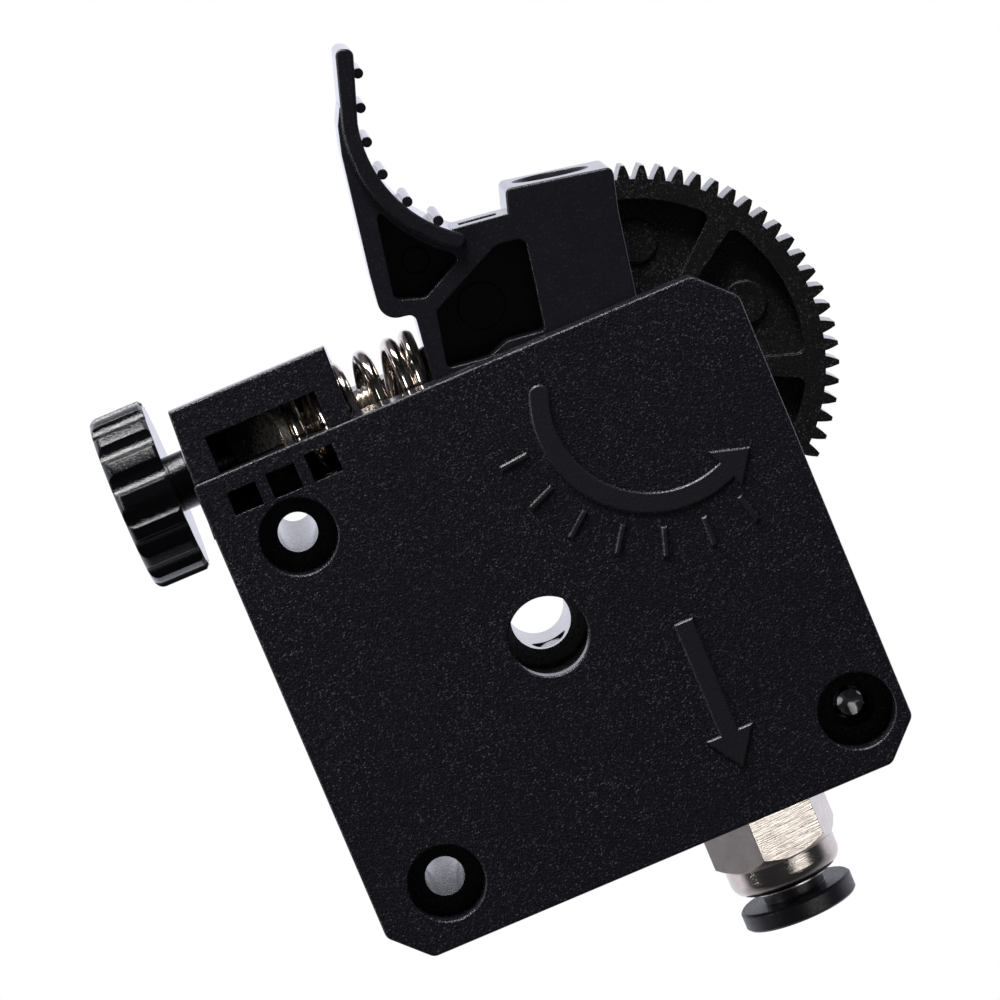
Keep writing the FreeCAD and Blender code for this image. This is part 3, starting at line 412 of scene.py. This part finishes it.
def spring_piece(material):
    """Compression spring with closed ends; its coils fan out towards the leaning lever."""
    low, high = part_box("tension_spring")
    outer = (high[2] - low[2]) / 2
    wire = 0.6 * MM
    mean = outer - wire
    axis = node_centre("tension_spring")
    left = low[0] + wire
    right = high[0] + outer * math.tan(LEVER_LEAN) - wire
    rise = 0.35 * MM                      # the lever's end of the spring sits a little higher
    start = -0.5                          # turns are counted from the first front crossing
    closed_from = 4.0
    end = 5.25
    closed_pitch = 1.9 * wire
    open_pitch = (right - left - (end - closed_from) * closed_pitch) / closed_from
    steps_per_turn = 56
    steps = int((end - start) * steps_per_turn)
    points = []
    spine = []
    for i in range(steps + 1):
        turn = start + i / steps_per_turn
        along = left + open_pitch * min(max(turn, 0.0), closed_from)
        along += closed_pitch * max(turn - closed_from, 0.0)
        share = (along - left) / (right - left)
        lean = LEVER_LEAN * share
        angle = 2 * math.pi * turn
        up = -mean * math.sin(angle)
        centre = Vector((along, axis.y, axis.z + rise * share))
        spine.append(centre)
        points.append(centre + Vector((up * math.sin(lean), -mean * math.cos(angle), up * math.cos(lean))))
    smooth = points[:1]
    for i in range(1, steps):
        smooth.append((points[i - 1] + points[i] * 2 + points[i + 1]) / 4)
    smooth.append(points[-1])
    vertices, faces = tube_along(smooth, spine, wire, 16)
    piece = mesh_piece("wound_spring", vertices, faces)
    piece.data.materials.append(material)
    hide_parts("tension_spring")
    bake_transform(piece)
    return piece


def screw_piece(material):
    """The tension screw with its hexagonal head and a cut thread."""
    low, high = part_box("tension_screw")
    axis = node_centre("tension_screw")
    across_flats = high[2] - low[2]
    head_length = 2.1 * MM
    major = 1.45 * MM
    pitch = 0.5 * MM
    depth = 0.28 * MM
    neck = 0.6 * MM                        # plain length between head and thread
    tip = 0.4 * MM
    tip_narrowing = 0.35 * MM
    flank = 0.42                           # half width of the groove, as a share of the pitch
    sides = 48
    samples = 7                            # stations along each thread pitch
    vertices = []

    def hexagon(angle, flats):
        wedge = (angle + math.pi / 6) % (math.pi / 3) - math.pi / 6
        return flats / 2 / math.cos(wedge)

    def add_station(x, radius_at):
        for k in range(sides):
            angle = 2 * math.pi * k / sides
            radius = radius_at(angle)
            vertices.append(Vector((x, axis.y + radius * math.sin(angle), axis.z + radius * math.cos(angle))))

    def thread_radius(x, angle):
        phase = ((x - low[0]) / pitch - angle / (2 * math.pi)) % 1.0
        groove = max(0.0, 1.0 - abs(phase - 0.5) / flank)
        end_taper = max(0.0, 1.0 - (high[0] - x) / tip) * tip_narrowing
        return major - depth * groove - end_taper

    chamfer = 0.25 * MM
    corner = across_flats / 2 / math.cos(math.pi / 6)
    for offset, limit in ((0.0, corner - chamfer), (chamfer * 0.6, corner), (head_length, corner)):
        add_station(low[0] + offset, lambda angle: min(hexagon(angle, across_flats), limit))
    add_station(low[0] + head_length, lambda angle: major)
    thread_start = low[0] + head_length + neck
    count = int((high[0] - thread_start) / pitch * samples)
    for i in range(count + 1):
        x = thread_start + (high[0] - thread_start) * i / count
        add_station(x, lambda angle: thread_radius(x, angle))
    stations = len(vertices) // sides
    faces = []
    for i in range(stations - 1):
        for k in range(sides):
            following = (k + 1) % sides
            faces.append((i * sides + k, i * sides + following,
                          (i + 1) * sides + following, (i + 1) * sides + k))
    faces.append(tuple(range(sides))[::-1])
    faces.append(tuple(range((stations - 1) * sides, stations * sides)))
    piece = mesh_piece("threaded_screw", vertices, faces, smooth=False)
    piece.data.materials.append(material)
    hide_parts("tension_screw")
    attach(piece, "tensioner")
    return piece


# ---------------------------------------------------------------- stage, light and camera
FRONT_GLOW = 0.03            # what the object mirrors in front of it
BACK_GLOW = 1.0              # and behind it, near the horizon
CAST_TINT = (0.93, 0.945, 1.07)


def surroundings(tree, vector, edge_low, edge_high):
    """Glow that rises from front to back, and the height that the caller may fade it with."""
    split = tree.nodes.new("ShaderNodeSeparateXYZ")
    tree.links.new(vector, split.inputs["Vector"])
    back = tree.nodes.new("ShaderNodeMapRange")
    back.inputs["From Min"].default_value = edge_low
    back.inputs["From Max"].default_value = edge_high
    back.inputs["To Min"].default_value = FRONT_GLOW
    back.inputs["To Max"].default_value = BACK_GLOW
    tree.links.new(split.outputs["Y"], back.inputs["Value"])
    return back.outputs["Result"], split.outputs["Z"]


def seen_or_cast(tree, cast, target):
    """White for the camera; the tinted cast glow for everything the object mirrors."""
    path = tree.nodes.new("ShaderNodeLightPath")
    colour = tree.nodes.new("ShaderNodeMix")
    colour.data_type = "RGBA"
    tree.links.new(path.outputs["Is Camera Ray"], colour.inputs["Factor"])
    colour.inputs["A"].default_value = (*CAST_TINT, 1.0)
    colour.inputs["B"].default_value = (1.0, 1.0, 1.0, 1.0)
    tree.links.new(colour.outputs["Result"], target.inputs["Color"])
    strength = tree.nodes.new("ShaderNodeMix")
    tree.links.new(path.outputs["Is Camera Ray"], strength.inputs["Factor"])
    tree.links.new(cast, strength.inputs["A"])
    strength.inputs["B"].default_value = 1.0
    tree.links.new(strength.outputs["Result"], target.inputs["Strength"])


def floor_material():
    """White sweep, bright behind the object and darker in front of it, clear when seen from below."""
    material = bpy.data.materials.new("floor_white")
    material.use_nodes = True
    tree = material.node_tree
    tree.nodes.clear()
    place = tree.nodes.new("ShaderNodeNewGeometry")
    glow, _ = surroundings(tree, place.outputs["Position"], -0.06, 0.12)
    emission = tree.nodes.new("ShaderNodeEmission")
    seen_or_cast(tree, glow, emission)
    clear = tree.nodes.new("ShaderNodeBsdfTransparent")
    sides = tree.nodes.new("ShaderNodeMixShader")
    tree.links.new(place.outputs["Backfacing"], sides.inputs["Fac"])
    tree.links.new(emission.outputs["Emission"], sides.inputs[1])
    tree.links.new(clear.outputs["BSDF"], sides.inputs[2])
    out = tree.nodes.new("ShaderNodeOutputMaterial")
    tree.links.new(sides.outputs["Shader"], out.inputs["Surface"])
    return material


def add_floor():
    size = 60.0
    drop = 90 * MM
    low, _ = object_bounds()
    z = low[2] - drop
    corners = [(-size, -size, z), (size, -size, z), (size, size, z), (-size, size, z)]
    floor = mesh_piece("floor", corners, [(0, 1, 2, 3)], smooth=False)
    floor.data.materials.append(floor_material())


def add_world():
    """Soft studio surroundings: bright behind the object, dim in front of it and overhead."""
    world = bpy.data.worlds.new("studio")
    bpy.context.scene.world = world
    world.use_nodes = True
    tree = world.node_tree
    place = tree.nodes.new("ShaderNodeTexCoord")
    glow, up = surroundings(tree, place.outputs["Generated"], -0.05, 0.35)
    fade = tree.nodes.new("ShaderNodeMapRange")
    fade.inputs["From Min"].default_value = 0.35
    fade.inputs["From Max"].default_value = 0.65
    fade.inputs["To Min"].default_value = 1.0
    fade.inputs["To Max"].default_value = 0.12
    tree.links.new(up, fade.inputs["Value"])
    product = tree.nodes.new("ShaderNodeMath")
    product.operation = "MULTIPLY"
    tree.links.new(glow, product.inputs[0])
    tree.links.new(fade.outputs["Result"], product.inputs[1])
    seen_or_cast(tree, product.outputs["Value"], tree.nodes["Background"])


def add_area(name, place, target, size, power, only=()):
    """A soft box; when only names pieces, it lights nothing else."""
    data = bpy.data.lights.new(name, "AREA")
    data.shape = "RECTANGLE"
    data.size, data.size_y = size
    data.energy = power
    lamp = bpy.data.objects.new(name, data)
    lamp.location = place
    lamp.rotation_mode = "QUATERNION"
    lamp.rotation_quaternion = (Vector(target) - Vector(place)).to_track_quat("-Z", "Y")
    bpy.context.scene.collection.objects.link(lamp)
    if only:
        lit = bpy.data.collections.new(name + "_pieces")
        for piece in only:
            lit.objects.link(bpy.data.objects[piece])
        lamp.light_linking.receiver_collection = lit


def add_lights():
    centre = node_centre("front_lid")
    add_area("top_softbox", centre + Vector((-0.05, -0.08, 0.60)), centre, (0.6, 0.12), 5.5)
    add_area("left_softbox", centre + Vector((-0.6, -0.22, 0.20)), centre, (0.10, 0.5), 1.1)
    coupler = node_centre("coupler_body")
    fitting = [name for name in NODES if name.startswith("coupler")] + ["lid_screw"]
    add_area("low_card", coupler + Vector((0.30, -0.52, -0.10)), coupler, (0.36, 0.26), 1.2, fitting)
    under = coupler + Vector((-0.06, -0.45, -0.38))
    add_area("dome_card", under, coupler, (0.35, 0.10), 0.22, ["coupler_body", "coupler_ring"])
    spring = node_centre("tension_spring")
    bright = ["wound_spring", "threaded_screw", "tension_nut"]
    add_area("spring_card", spring + Vector((-0.35, -0.5, 0.05)), spring, (0.15, 0.3), 1.5, bright)


def add_camera():
    """A long lens, slightly above, rolled so that the object leans to the left."""
    azimuth = math.radians(-0.39)
    elevation = math.radians(7.61)
    roll = math.radians(-22.85)
    distance = 448.4 * MM
    low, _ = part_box("front_lid")
    aim = Vector((0.66 * MM, low[1] + MARK_HEIGHT, 11.87 * MM))
    back = Vector((math.sin(azimuth) * math.cos(elevation), -math.cos(azimuth) * math.cos(elevation),
                   math.sin(elevation)))
    data = bpy.data.cameras.new("camera")
    data.lens = 199.2
    data.sensor_width = 36.0
    data.clip_start = 0.01
    data.clip_end = 200.0
    camera = bpy.data.objects.new("camera", data)
    camera.location = aim + back * distance
    camera.rotation_mode = "QUATERNION"
    upright = (-back).to_track_quat("-Z", "Y").to_matrix()
    camera.rotation_quaternion = (upright @ Matrix.Rotation(roll, 3, "Z")).to_quaternion()
    bpy.context.scene.collection.objects.link(camera)
    bpy.context.scene.camera = camera


# ---------------------------------------------------------------- build
bpy.context.scene.view_settings.view_transform = "Standard"
looks = make_materials()
dress_nodes(looks)
spring_piece(looks["spring_steel"])
screw_piece(looks["screw_steel"])
add_floor()
add_world()
add_lights()
add_camera()
